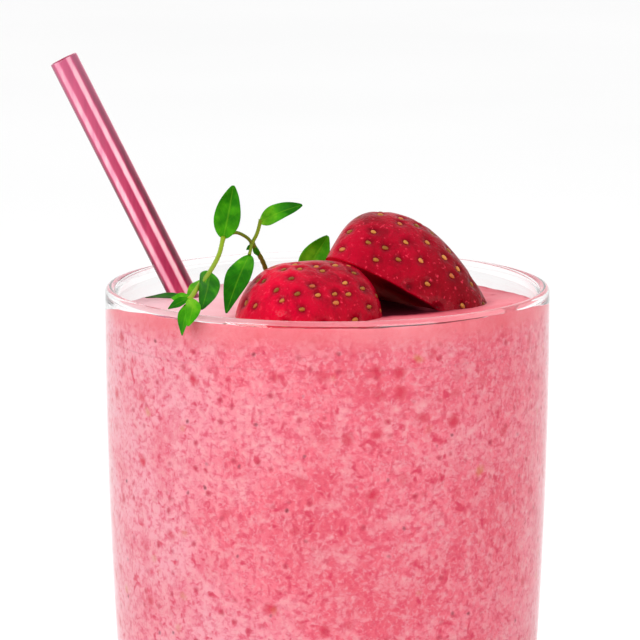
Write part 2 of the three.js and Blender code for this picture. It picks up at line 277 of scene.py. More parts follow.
def srgb(red, green, blue):
    """A colour as it looks on a screen, 0 to 255, turned into the linear values that a shader takes."""
    def linear(value):
        share = value / 255
        return share / 12.92 if share <= 0.04045 else ((share + 0.055) / 1.055) ** 2.4
    return linear(red), linear(green), linear(blue)


def glass_material():
    shader = Shader("clear_glass")
    haze = shader.noise(60.0, 2.0)
    shader.set(
        Base_Color=shader.ramp(haze, [(0.3, (0.985, 0.992, 0.99)), (0.7, (0.995, 0.998, 0.997))]),
        Roughness=0.0,
        IOR=1.4,
        Transmission_Weight=1.0,
    )
    return shader.material


def glass_base_material():
    """The thick base: the same glass, paler, as its depth gathers light from all round."""
    shader = Shader("clear_glass_base")
    haze = shader.noise(90.0, 3.0, 0.5, 0.5)
    shader.set(
        Base_Color=shader.ramp(haze, [(0.3, srgb(226, 238, 236)), (0.7, srgb(246, 252, 251))]),
        Roughness=0.03,
        IOR=1.4,
        Transmission_Weight=0.35,
    )
    return shader.material


def specks(shader, scale, size, offset, share):
    """A mask of soft specks: cells of a Voronoi pattern, kept where their random number is low."""
    where = shader.shifted(offset)
    jitter = shader.node("ShaderNodeTexNoise", {"Vector": where, "Scale": scale * 1.7, "Detail": 2.0})
    values = {0: jitter.outputs["Color"], "Scale": SPECK_JITTER / scale}
    spread = shader.node("ShaderNodeVectorMath", values, operation="SCALE")
    warped = shader.node("ShaderNodeVectorMath", {0: where, 1: spread.outputs[0]}, operation="ADD")
    cells = shader.node("ShaderNodeTexVoronoi", {"Vector": warped.outputs[0], "Scale": scale})
    near = shader.ramp(cells.outputs["Distance"], [(size * 0.3, 1.0), (size, 0.0)])
    pick = shader.node("ShaderNodeSeparateColor", {0: cells.outputs["Color"]}).outputs[0]
    strength = shader.ramp(pick, [(share * 0.4, 1.0), (share, 0.0)])
    return shader.times(near, strength)


def smoothie_material():
    """Blended fruit: clouds of pink, crimson shreds, specks and broken seeds, smooth near the rim."""
    shader = Shader("smoothie")
    across = shader.coordinate("X")
    side_share = shader.plus(shader.times(across, 1 / (2 * BULGE_RADIUS * MM)), 0.5)
    # Painted light: paler to the left, where the key light falls, and paler towards both sides as painted
    # sheen; most saturated in the middle.
    smoothie_side_light = shader.ramp(side_share, [(0.0, 0.84), (0.22, 0.69), (0.50, 0.38), (0.78, 0.41), (1.0, 0.56)])
    broad = shader.plus(shader.noise(34.0, 3.0, 0.55, 0.4), shader.minus(smoothie_side_light, 0.5))
    colour = shader.ramp(broad, [
        (0.30, srgb(244, 96, 120)),
        (0.50, srgb(253, 124, 145)),
        (0.78, srgb(255, 178, 194)),
    ])

    def layer(under, scale, low, high, strength, over, offset, stretch=(1.0, 1.0, 1.0), detail=2.0):
        fine = shader.noise(scale, detail, 0.55, 0.5, shader.shifted(offset, stretch))
        mask = shader.times(shader.ramp(fine, [(low, 0.0), (high, 1.0)]), strength)
        return shader.mix(mask, under, srgb(*over))

    def spots(under, scale, size, share, strength, over, offset):
        mask = shader.times(specks(shader, scale, size, offset, share), strength)
        return shader.mix(mask, under, srgb(*over))

    colour = layer(colour, 120.0, 0.50, 0.70, 0.6, (240, 70, 104), (0.3, 0.1, 0.2), detail=3.0)
    colour = layer(colour, 190.0, 0.50, 0.72, 0.55, (255, 190, 198), (0.8, 0.5, 0.6), detail=3.0)
    colour = layer(colour, 520.0, 0.48, 0.70, 0.6, (255, 184, 194), (0.2, 0.9, 0.1))
    colour = layer(colour, 640.0, 0.50, 0.70, 0.7, (236, 56, 100), (0.6, 0.2, 0.8), (1.0, 1.0, 1.4))
    colour = layer(colour, 1100.0, 0.50, 0.72, 0.6, (232, 50, 96), (0.1, 0.7, 0.3))
    colour = layer(colour, 1300.0, 0.52, 0.74, 0.5, (255, 200, 206), (0.5, 0.2, 0.6))
    colour = layer(colour, 430.0, 0.60, 0.72, 0.85, (230, 14, 80), (0.7, 0.4, 0.1))
    colour = layer(colour, 420.0, 0.61, 0.73, 0.6, (232, 34, 88), (0.5, 0.3, 0.9), (1.5, 1.5, 0.6))
    colour = spots(colour, 210.0, 0.34, 0.42, 0.95, (226, 0, 66), (0.11, 0.23, 0.31))
    colour = spots(colour, 420.0, 0.34, 0.40, 0.85, (214, 4, 66), (0.41, 0.73, 0.21))
    colour = spots(colour, 180.0, 0.22, 0.30, 0.6, (226, 142, 78), (0.51, 0.13, 0.71))
    colour = spots(colour, 330.0, 0.18, 0.24, 0.9, (140, 0, 36), (0.91, 0.37, 0.17))
    ragged = shader.times(shader.noise(150.0, 3.0), SMOOTH_RAGGED * MM)
    uneven = shader.plus(shader.coordinate("Z"), ragged)
    over_lowest = shader.minus(uneven, (RIM - SMOOTH_BELOW_RIM) * MM)
    rimward = shader.times(over_lowest, 1 / (SMOOTH_BELOW_RIM * MM))
    smooth = shader.ramp(shader.noise(90.0, 3.0, 0.5, 0.4), [
        (0.3, srgb(246, 106, 120)),
        (0.7, srgb(254, 142, 152)),
    ])
    colour = shader.mix(shader.ramp(rimward, [(0.36, 0.0), (0.8, 0.85)]), colour, smooth)
    shader.set(Base_Color=colour, Roughness=0.34, IOR=1.38, Subsurface_Weight=0.08, Specular_IOR_Level=0.3)
    shader.set(Subsurface_Radius=(1.0, 0.4, 0.4), Subsurface_Scale=0.8 * MM)
    shader.bump(shader.noise(420.0, 4.0, 0.6), 0.3, 0.3 * MM)
    return shader.material


def drink_top_material():
    """The wet top of the drink: smooth, paler to the left as a painted reflection, and stained with juice and
    painted shadow at the fruit.
    """
    shader = Shader("smoothie_top")
    broad = shader.noise(70.0, 3.0, 0.55, 0.6)
    colour = shader.ramp(broad, [
        (0.32, srgb(232, 106, 122)),
        (0.5, srgb(240, 122, 136)),
        (0.72, srgb(246, 146, 156)),
    ])
    shreds = shader.ramp(shader.noise(380.0, 4.0, 0.6, 0.6), [(0.58, 0.0), (0.74, 1.0)])
    colour = shader.mix(shader.times(shreds, 0.6), colour, srgb(222, 58, 90))
    dots = specks(shader, 300.0, 0.24, (0.31, 0.53, 0.11), 0.25)
    colour = shader.mix(shader.times(dots, 0.7), colour, srgb(190, 30, 66))
    # Painted reflection: the surface turns pale pink towards the left.
    leftward = shader.times(shader.coordinate("X"), -1 / (LEFT_REFLECTION_REACH * MM))
    reflection_spread = shader.plus(leftward, shader.times(broad, 0.3))
    painted_reflection = shader.ramp(reflection_spread, [(0.36, 0.0), (0.66, 0.45), (0.92, 0.62)])
    colour = shader.mix(painted_reflection, colour, srgb(255, 232, 238))
    # Juice stain with painted contact shade round the fruit, and painted shadow in dark maroon where the
    # halves overhang the surface.
    stain_and_shadow = shader.attribute("place")[0]
    uneven = shader.times(stain_and_shadow, shader.plus(shader.times(shreds, 0.3), 0.8))
    colour = shader.mix(shader.ramp(uneven, [(0.1, 0.0), (0.5, 0.6)]), colour, srgb(160, 12, 44))
    colour = shader.mix(shader.ramp(uneven, [(0.4, 0.0), (0.75, 0.97)]), colour, srgb(50, 0, 14))
    shader.set(Base_Color=colour, Roughness=0.5, IOR=1.36, Specular_IOR_Level=0.1)
    shader.bump(shader.noise(260.0, 3.0, 0.5), 0.12, 0.3 * MM)
    return shader.material


def straw_material():
    """Straw attribute: the tone of the painted highlight stripes and shade round the straw, inside or
    outside, and how far along.
    """
    shader = Shader("straw_plastic")
    highlight_band, inner, along = shader.attribute("place")[:3]
    streak = shader.noise(900.0, 2.0, 0.5, 0.0, shader.shifted((0.1, 0.2, 0.3), (1.0, 1.0, 0.06)))
    uneven = shader.plus(highlight_band, shader.times(shader.minus(streak, 0.5), 0.5))
    # Painted light: dark painted shade at the low end, pale painted highlight at the high end.
    outside = shader.ramp(uneven, [
        (0.0, srgb(80, 6, 32)),
        (0.18, srgb(126, 18, 58)),
        (0.40, srgb(172, 36, 80)),
        (0.60, srgb(196, 76, 112)),
        (0.80, srgb(226, 150, 174)),
        (1.0, srgb(240, 202, 206)),
    ])
    mottle = shader.noise(240.0, 3.0, 0.5, 0.2)
    outside = shader.mix(shader.times(mottle, 0.18), outside, srgb(212, 110, 140))
    dusty = shader.ramp(along, [(0.82, 0.0), (1.0, 0.5)])
    outside = shader.mix(dusty, outside, srgb(190, 104, 134))
    # Painted reflection: deeper pink where the straw nears the drink.
    lower = shader.ramp(along, [(0.60, 0.35), (0.72, 0.0)])
    outside = shader.mix(lower, outside, srgb(226, 84, 120))
    colour = shader.mix(inner, outside, srgb(170, 50, 85))
    shader.set(Base_Color=colour, Roughness=0.22, IOR=1.46, Specular_IOR_Level=0.3)
    shader.bump(streak, 0.1, 0.1 * MM)
    return shader.material


def skin_material():
    """Red skin, with painted shade to the right and in the dimples and painted light at the left. Its
    attribute's last number is the dimple.
    """
    shader = Shader("strawberry_skin")
    dimple = shader.attribute("place")[2]
    broad = shader.noise(75.0, 3.0, 0.5, 0.3)
    colour = shader.ramp(broad, [
        (0.25, srgb(142, 0, 22)),
        (0.5, srgb(182, 0, 38)),
        (0.75, srgb(208, 0, 50)),
    ])
    blush = shader.ramp(shader.noise(420.0, 2.0, 0.5), [(0.45, 0.0), (0.8, 1.0)])
    colour = shader.mix(shader.times(blush, 0.3), colour, srgb(224, 20, 56))
    veins = shader.noise(300.0, 4.0, 0.6, 1.0, shader.shifted((0.4, 0.2, 0.6), (1.0, 1.0, 0.7)))
    colour = shader.mix(shader.ramp(veins, [(0.46, 0.0), (0.68, 0.7)]), colour, srgb(122, 0, 22))
    # Painted shade darkens the skin to the right, and painted light brightens its left end.
    rightward = shader.times(shader.coordinate("X"), 1 / (SKIN_SHADE_REACH * MM))
    skin_side_light = shader.plus(rightward, shader.times(broad, 0.5))
    right_shade = shader.ramp(skin_side_light, [(0.3, 0.0), (0.55, 0.3), (0.75, 0.35), (1.0, 0.8)])
    colour = shader.mix(right_shade, colour, srgb(112, 0, 14))
    colour = shader.mix(shader.ramp(skin_side_light, [(0.0, 0.5), (0.16, 0.0)]), colour, srgb(244, 0, 56))
    # Painted shade: dark red in the dimples round the seeds.
    colour = shader.mix(shader.times(dimple, 0.85), colour, srgb(78, 0, 8))
    glint = shader.noise(1300.0, 2.0, 0.5, 0.3, shader.shifted((0.9, 0.1, 0.4)))
    colour = shader.mix(shader.ramp(glint, [(0.62, 0.0), (0.74, 0.5)]), colour, srgb(255, 70, 96))
    shader.set(Base_Color=colour, Roughness=0.3, IOR=1.42, Specular_IOR_Level=0.05)
    shader.set(Coat_Weight=0.09, Coat_Roughness=0.04, Coat_IOR=1.4)
    grain = shader.plus(shader.noise(620.0, 3.0, 0.6), shader.times(shader.noise(1500.0, 2.0), 0.35))
    shader.bump(grain, 0.8, 0.4 * MM)
    return shader.material


def flesh_material():
    """The cut face: pale red in the middle, dark maroon round it as painted shade, crimson at the hull end as
    painted light where the face lies in shade.

    Its attribute holds how near the skin a point is and how far along the half.
    """
    shader = Shader("strawberry_flesh")
    edge, along = shader.attribute("place")[:2]
    fibre = shader.noise(260.0, 3.0, 0.5, 0.4)
    warped = shader.plus(edge, shader.times(shader.minus(fibre, 0.5), 0.2))
    # Painted shade: the flesh turns dark maroon between its pale middle and the skin.
    colour = shader.ramp(warped, [
        (0.1, srgb(216, 96, 92)),
        (0.3, srgb(170, 10, 34)),
        (0.5, srgb(112, 0, 22)),
        (0.75, srgb(96, 0, 22)),
        (0.92, srgb(140, 0, 28)),
        (1.0, srgb(200, 0, 42)),
    ])
    # Painted light: bright crimson at the hull end, where the face lies in shade.
    colour = shader.mix(shader.ramp(along, [(0.14, 0.95), (0.36, 0.0)]), colour, srgb(255, 20, 60))
    shader.set(Base_Color=colour, Roughness=0.6, IOR=1.38, Specular_IOR_Level=0.02)
    shader.bump(fibre, 0.3, 0.3 * MM)
    return shader.material


def seed_material():
    """Seeds from brown to yellow and red, each with one tint as its attribute."""
    shader = Shader("strawberry_seed")
    tint = shader.attribute("place")[0]
    colour = shader.ramp(tint, [
        (0.0, srgb(112, 72, 16)),
        (0.35, srgb(164, 106, 36)),
        (0.7, srgb(212, 142, 66)),
        (1.0, srgb(180, 74, 46)),
    ])
    grain = shader.noise(2200.0, 2.0)
    colour = shader.mix(shader.times(grain, 0.35), colour, srgb(130, 70, 20))
    shader.set(Base_Color=colour, Roughness=0.35, IOR=1.45, Specular_IOR_Level=0.3)
    shader.bump(grain, 0.2, 0.08 * MM)
    return shader.material


def leaf_material():
    """Leaf attribute: how far across, how far along, and how light the leaf is there."""
    shader = Shader("herb_leaf")
    across, along, tint = shader.attribute("place")[:3]
    mottle = shader.noise(420.0, 3.0, 0.5)
    uneven = shader.plus(tint, shader.times(shader.minus(mottle, 0.5), 0.7))
    body = shader.ramp(uneven, [
        (0.0, srgb(14, 72, 2)),
        (0.3, srgb(30, 108, 4)),
        (0.55, srgb(62, 146, 10)),
        (0.8, srgb(116, 184, 30)),
        (1.0, srgb(176, 214, 74)),
    ])
    slanted = shader.minus(along, shader.times(across, 0.28))
    wave = shader.math("ABSOLUTE", shader.math("SINE", shader.times(slanted, 19.0)))
    side_veins = shader.ramp(wave, [(0.0, 1.0), (0.3, 0.0)])
    rib = shader.ramp(across, [(0.02, 1.0), (0.1, 0.0)])
    veins = shader.math("MAXIMUM", shader.times(side_veins, 0.25), rib)
    colour = shader.mix(shader.times(veins, 0.17), body, srgb(140, 196, 40))
    shader.set(Base_Color=colour, Roughness=0.45, IOR=1.38, Subsurface_Weight=0.1, Specular_IOR_Level=0.07)
    shader.set(Subsurface_Radius=(0.4, 1.0, 0.1), Subsurface_Scale=0.4 * MM)
    shader.bump(shader.minus(mottle, shader.times(veins, 0.6)), 0.35, 0.2 * MM)
    return shader.material


def stem_material():
    shader = Shader("herb_stem")
    tint = shader.attribute("place")[2]
    body = shader.ramp(tint, [
        (0.0, srgb(104, 84, 34)),
        (0.4, srgb(104, 122, 24)),
        (1.0, srgb(150, 182, 40)),
    ])
    grain = shader.noise(600.0, 3.0, 0.6, 0.0, shader.shifted((0, 0, 0), (2.0, 2.0, 0.5)))
    colour = shader.mix(shader.times(grain, 0.3), body, srgb(98, 96, 26))
    shader.set(Base_Color=colour, Roughness=0.5, IOR=1.4, Specular_IOR_Level=0.2)
    shader.bump(grain, 0.4, 0.2 * MM)
    return shader.material


def floor_material():
    shader = Shader("floor_paint")
    tone = shader.ramp(shader.noise(3.0, 2.0), [(0.3, 0.93), (0.7, 0.95)])
    shader.set(Base_Color=tone, Roughness=0.8)
    return shader.material


# Mesh making

def make_object(name, points, faces, materials, place=None, face_material=None, smooth=True):
    """A mesh object from points in millimetres. place gives the shaders three numbers for each point."""
    mesh = bpy.data.meshes.new(name)
    mesh.from_pydata((np.asarray(points) * MM).tolist(), [], [tuple(int(i) for i in face) for face in faces])
    mesh.update()
    for material in materials:
        mesh.materials.append(material)
    if face_material is not None:
        mesh.polygons.foreach_set("material_index", np.asarray(face_material, dtype=np.int32))
    mesh.polygons.foreach_set("use_smooth", np.full(len(mesh.polygons), smooth))
    if place is not None:
        layer = mesh.color_attributes.new("place", "FLOAT_COLOR", "POINT")
        values = np.ones((len(points), 4), dtype=np.float32)
        values[:, :3] = place
        layer.data.foreach_set("color", values.ravel())
    made = bpy.data.objects.new(name, mesh)
    bpy.context.scene.collection.objects.link(made)
    return made


def grid_faces(rows, columns, start=0, flip=False):
    """Four-cornered faces over a grid of points, rows by columns."""
    row, column = np.meshgrid(np.arange(rows - 1), np.arange(columns - 1), indexing="ij")
    corner = (start + row * columns + column).ravel()
    faces = np.stack([corner, corner + 1, corner + 1 + columns, corner + columns], axis=1)
    return faces[:, ::-1] if flip else faces


def ring_faces(lower, upper, sides):
    """The band of faces between two rings of points, which start at lower and at upper."""
    nexts = [(i + 1) % sides for i in range(sides)]
    return [(lower + i, lower + j, upper + j, upper + i) for i, j in enumerate(nexts)]


def lathe(profile, sides):
    """Points and faces of a profile of radius and height turned about the vertical axis."""
    points = []
    rings = []
    for radius, height in profile:
        if radius < 1e-6:
            rings.append([len(points)])
            points.append((0.0, 0.0, height))
            continue
        start = len(points)
        for i in range(sides):
            angle = 2 * math.pi * i / sides
            points.append((radius * math.cos(angle), radius * math.sin(angle), height))
        rings.append(list(range(start, start + sides)))
    faces = []
    for lower, upper in zip(rings, rings[1:]):
        for i in range(sides):
            j = (i + 1) % sides
            if len(lower) == 1:
                faces.append((lower[0], upper[j], upper[i]))
            elif len(upper) == 1:
                faces.append((lower[i], lower[j], upper[0]))
            else:
                faces.append((lower[i], lower[j], upper[j], upper[i]))
    return np.array(points), faces


def arc(centre_r, centre_z, radius, start, end, steps):
    angles = np.linspace(start, end, steps + 1)
    return [(centre_r + radius * math.cos(a), centre_z + radius * math.sin(a)) for a in angles]


def outer_radius(z):
    return BULGE_RADIUS - TAPER * (RIM - BULGE_DEPTH - z) ** 2


def inner_radius(z):
    return outer_radius(z) - WALL


def wall_points(radius_at, lowest, highest, steps):
    return [(radius_at(z), z) for z in np.linspace(lowest, highest, steps + 1)]


def cavity_profile(outset, height, steps=30):
    """The inside from the middle of the floor up to a height, set outwards into the wall."""
    floor = BASE_THICKNESS - outset
    corner_z = floor + FLOOR_CORNER
    corner_r = inner_radius(corner_z) + outset - FLOOR_CORNER
    return [
        (0.0, floor),
        *arc(corner_r, corner_z, FLOOR_CORNER, -math.pi / 2, 0, 12)[:-1],
        *wall_points(lambda z: inner_radius(z) + outset, corner_z, height, steps),
    ]


def make_glass():
    """The tumbler: its rim is a round bead, flush with the wall outside and standing out inside."""
    bead_z = RIM - BEAD_RADIUS
    bead_r = outer_radius(bead_z) - BEAD_RADIUS
    under = math.acos((WALL - BEAD_RADIUS) / BEAD_RADIUS)
    bead_foot = bead_z - BEAD_RADIUS * math.sin(under)
    corner_r = outer_radius(FOOT_CORNER) - FOOT_CORNER
    profile = [
        (0.0, 0.0),
        *arc(corner_r, FOOT_CORNER, FOOT_CORNER, -math.pi / 2, 0, 12)[:-1],
        *wall_points(outer_radius, FOOT_CORNER, bead_z, 30)[:-1],
        *arc(bead_r, bead_z, BEAD_RADIUS, 0, math.pi + under, 32)[:-1],
        *reversed(cavity_profile(0.0, bead_foot)),
    ]
    points, faces = lathe(profile, GLASS_SIDES)
    height = np.array([np.mean(points[list(face), 2]) for face in faces])
    reach = np.array([np.mean(np.hypot(points[list(face), 0], points[list(face), 1])) for face in faces])
    outside = reach > inner_radius(BASE_THICKNESS) - FLOOR_CORNER
    under_floor = height < BASE_THICKNESS - BASE_MARGIN
    base = under_floor | ((height < BASE_THICKNESS + BASE_MARGIN) & ~outside)
    materials = [glass_material(), glass_base_material()]
    glass = make_object("glass_fine", points, faces, materials, face_material=base.astype(int))
    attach(glass, "root")
    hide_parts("glass")


# Drink

def drink_level(x, y):
    slope = (LEVEL_RISE_RIGHT * x - LEVEL_FALL_BACK * y) / inner_radius(RIM)
    wave = math.sin(0.17 * x + 0.9) * math.cos(0.14 * y - 0.4)
    return RIM - LEVEL_BELOW_RIM + slope + LEVEL_WAVE * wave


def drink_surface(x, y):
    """The level with its fine relief: thick swirls and a rise at the wall."""
    spot = Vector((x, y, 0.0))
    swirl = 0.16 * noise.noise(spot * 0.11) + 0.1 * noise.noise(spot * 0.35) + 0.05 * noise.noise(spot * 1.1)
    to_wall = inner_radius(RIM - LEVEL_BELOW_RIM) - math.hypot(x, y)
    climb = MENISCUS_RISE * math.exp(-max(to_wall, 0.0) / MENISCUS_REACH * 2)
    return drink_level(x, y) + swirl + climb


def stain_and_painted_shadow(points, halves):
    """Red juice stain and painted shadow at each point of the surface, 0 to 1: a little round the fruit, most
    painted shadow between the halves.
    """
    stain_and_shadow = np.zeros(len(points))
    shadow_pool = np.ones(len(points))
    shares = np.linspace(0.02, 0.98, STAIN_SAMPLES)
    turns = np.linspace(-math.pi / 2, math.pi / 2, STAIN_SAMPLES)
    t, angle = np.meshgrid(shares, turns, indexing="ij")
    for half, reach in zip(halves, SHADOW_POOL_REACHES):
        skin = skin_points(half, t, angle).reshape(-1, 3)
        near_level = skin[np.abs(skin[:, 2] - (RIM - LEVEL_BELOW_RIM)) < STAIN_BAND]
        for i, point in enumerate(points):
            gap = np.min(np.hypot(near_level[:, 0] - point[0], near_level[:, 1] - point[1]))
            over = np.min(np.hypot(skin[:, 0] - point[0], skin[:, 1] - point[1]))
            stain_and_shadow[i] += STAIN_STRENGTH * math.exp(-(gap / STAIN_WIDTH) ** 2)
            shadow_pool[i] *= math.exp(-(over / reach) ** 2)
    return np.clip(stain_and_shadow + SHADOW_POOL_STRENGTH * shadow_pool, 0, 1)


def make_drink(halves):
    """The body of the drink. It returns the material of its side, for the film."""
    top = RIM - LEVEL_BELOW_RIM
    side = cavity_profile(INTO_WALL, top, 60)
    edge = side[-1][0]
    rings = [(edge * (ring / SURFACE_RINGS), top) for ring in range(SURFACE_RINGS - 1, -1, -1)]
    points, faces = lathe(side + rings, GLASS_SIDES)
    on_top = np.flatnonzero(np.abs(points[:, 2] - top) < 1e-6)
    for i in on_top:
        points[i, 2] = drink_surface(points[i, 0], points[i, 1])
    place = np.zeros((len(points), 3))
    place[on_top, 0] = stain_and_painted_shadow(points[on_top], halves)
    top_points = set(on_top.tolist())
    kinds = [int(all(i in top_points for i in face)) for face in faces]
    materials = [smoothie_material(), drink_top_material()]
    drink = make_object("smoothie_fill", points, faces, materials, place, kinds)
    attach(drink, "root")
    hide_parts("smoothie")
    return materials[0]


def cavity_radius(z):
    """The inside of the glass with the inward side of its bead."""
    bead_z = RIM - BEAD_RADIUS
    side = inner_radius(z)
    if abs(z - bead_z) >= BEAD_RADIUS:
        return side
    bead_side = outer_radius(bead_z) - BEAD_RADIUS - math.sqrt(BEAD_RADIUS ** 2 - (z - bead_z) ** 2)
    return min(side, bead_side)


def make_film(material):
    """The clinging film: it starts in the drink, reaches just into the wall and thins to its upper edge."""
    angles = np.linspace(FILM_TOP[0][0], FILM_TOP[-1][0], FILM_COLUMNS)
    depths = np.interp(angles, *zip(*FILM_TOP))
    round_edge = np.linspace(0, math.pi, 7)[1:-1]
    points = []
    for angle, depth in zip(np.radians(angles), depths):
        across, back = math.sin(angle), -math.cos(angle)
        spot = Vector((across * 5, back * 5, 3.0))
        top = RIM - depth + 0.16 * noise.noise(spot * 1.2) + 0.07 * noise.noise(spot * 4.0)
        low = RIM - FILM_FOOT
        ring = []
        for z in np.linspace(low, top, FILM_ROWS):
            share = (z - low) / (top - low)
            lump = FILM_LUMP * noise.noise(Vector((across * 9, back * 9, z * 0.8)))
            inward = FILM_THICKNESS * (1 - FILM_THINNING * share)
            ring.append((cavity_radius(z) - inward - lump * (1 - share), z))
        inner_edge = ring[-1][0]
        outer_edge = cavity_radius(top) + FILM_INTO_WALL
        middle = (inner_edge + outer_edge) / 2
        half = (outer_edge - inner_edge) / 2
        for turn in round_edge:
            ring.append((middle - half * math.cos(turn), top + FILM_EDGE_HEIGHT * math.sin(turn)))
        ring += [(cavity_radius(z) + FILM_INTO_WALL, z) for z in np.linspace(top, low, FILM_ROWS)]
        points += [(across * r, back * r, z) for r, z in ring]
    size = 2 * FILM_ROWS + len(round_edge)
    faces = []
    for i in range(FILM_COLUMNS - 1):
        faces += ring_faces(i * size, (i + 1) * size, size)
    faces.append(tuple(range(size - 1, -1, -1)))
    faces.append(tuple((FILM_COLUMNS - 1) * size + j for j in range(size)))
    film = make_object("smoothie_film", points, faces, [material])
    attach(film, "root")


# Straw

def straw_place():
    drop = STRAW_DIAMETER / 2 * math.sin(STRAW_LEAN)
    bottom_z = BASE_THICKNESS + STRAW_GAP + drop
    top_z = RIM + STRAW_TOP_ABOVE_RIM
    bottom_x = STRAW_RIM_X + (RIM - bottom_z) * math.tan(STRAW_LEAN)
    return Vector((bottom_x, STRAW_Y, bottom_z)), (top_z - bottom_z) / math.cos(STRAW_LEAN)


def highlight_tone(angle):
    """The painted light round the straw, 1 pale highlight and 0 dark shade: the stripes repeat in each third
    of a turn.
    """
    third = 2 * math.pi / 3
    nearest = math.degrees((angle + third / 2) % third - third / 2)
    tones = [tone * math.exp(-((nearest - middle) / width) ** 4) for tone, middle, width in HIGHLIGHT_STRIPES]
    return max(tones) if abs(nearest) < 60 else 0.0


def make_straw():
    bottom, length = straw_place()
    outer = STRAW_DIAMETER / 2
    inner = outer - STRAW_WALL
    soft = STRAW_WALL / 2
    lower_end = arc(inner + soft, soft, soft, math.pi, 2 * math.pi, 6)
    upper_end = arc(inner + soft, length - soft, soft, 0, math.pi, 6)
    outside = [(outer, z) for z in np.linspace(soft, length - soft, STRAW_STEPS)[1:-1]]
    inside = [(inner, z) for z in np.linspace(length - soft, soft, STRAW_STEPS)[1:-1]]
    profile = lower_end + outside + upper_end + inside
    points, place = [], []
    for radius, height in profile:
        for i in range(STRAW_SIDES):
            angle = 2 * math.pi * i / STRAW_SIDES
            points.append((radius * math.sin(angle), -radius * math.cos(angle), height))
            place.append((highlight_tone(angle), float(radius < inner + soft * 0.5), height / length))
    faces = []
    for ring in range(len(profile)):
        next_ring = (ring + 1) % len(profile)
        faces += ring_faces(ring * STRAW_SIDES, next_ring * STRAW_SIDES, STRAW_SIDES)
    turn = Matrix.Rotation(-STRAW_LEAN, 3, "Y")
    placed = [tuple(turn @ Vector(p) + bottom) for p in points]
    straw = make_object("straw_fine", placed, faces, [straw_material()], place)
    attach(straw, "root")
    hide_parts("straw")


# Strawberry halves

def berry_profile(half, t):
    """The half's outline along its length, 0 to 1: widest at one share, rounder to hull than to tip."""
    t = np.asarray(t, dtype=float)
    hull = np.clip(1 - t / half["widest"], 0, 1)
    tip = np.clip((t - half["widest"]) / (1 - half["widest"]), 0, 1)
    hull_side = np.clip(1 - hull ** half["hull_power"], 0, 1) ** half["hull_root"]
    tip_side = np.clip(1 - tip ** half["tip_power"], 0, 1) ** half["tip_root"]
    return np.where(t < half["widest"], hull_side, tip_side)


def berry_axes(half):
    along = Vector(half["tipward"]).normalized()
    crest = Vector(half["crest"])
    up = (crest - along * crest.dot(along)).normalized()
    return np.array(along), np.array(up), np.array(up.cross(along))


def skin_points(half, t, angle):
    """Points of the smooth skin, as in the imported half. t and angle are arrays of one shape."""
    along, up, across = berry_axes(half)
    lump = 1 + BERRY_LUMP * np.sin(3 * angle + 5 * t) * np.sin(np.pi * t)
    r = berry_profile(half, t) * lump
    return (
        np.array(half["centre"])
        + along * ((t - 0.5) * half["length"])[..., None]
        + across * (r * half["radius"] * np.sin(angle))[..., None]
        + up * (r * half["depth"] * np.cos(angle))[..., None]
    )


def seed_places(half):
    """Where the seeds lie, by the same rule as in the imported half: t and angle of each."""
    places = []
    for row in range(half["seed_rows"]):
        t = (row + 0.55) / (half["seed_rows"] + 0.1)
        girth = math.pi * float(berry_profile(half, t)) * half["radius"]
        count = max(2, round(girth / SEED_SPACING))
        for i in range(count):
            stagger = 0.25 if row % 2 == 0 else 0.75
            share = (i + stagger) / count + 0.03 * math.sin(7 * row + 3 * i + half["seed_turn"])
            places.append((t + 0.012 * math.sin(5 * i + 2 * row), math.pi * (share - 0.5)))
    return places


def surface_frame(half, t, angle):
    """A point of the skin, the way along it and the way out of it."""
    step = 0.01

    def at(dt, da):
        return Vector(skin_points(half, np.array(t + dt), np.array(angle + da)))

    place = at(0, 0)
    along = (at(step, 0) - at(-step, 0)).normalized()
    round_way = (at(0, step) - at(0, -step)).normalized()
    normal = along.cross(round_way).normalized()
    if normal.dot(place - Vector(half["centre"])) < 0:
        normal.negate()
    return place, along, normal


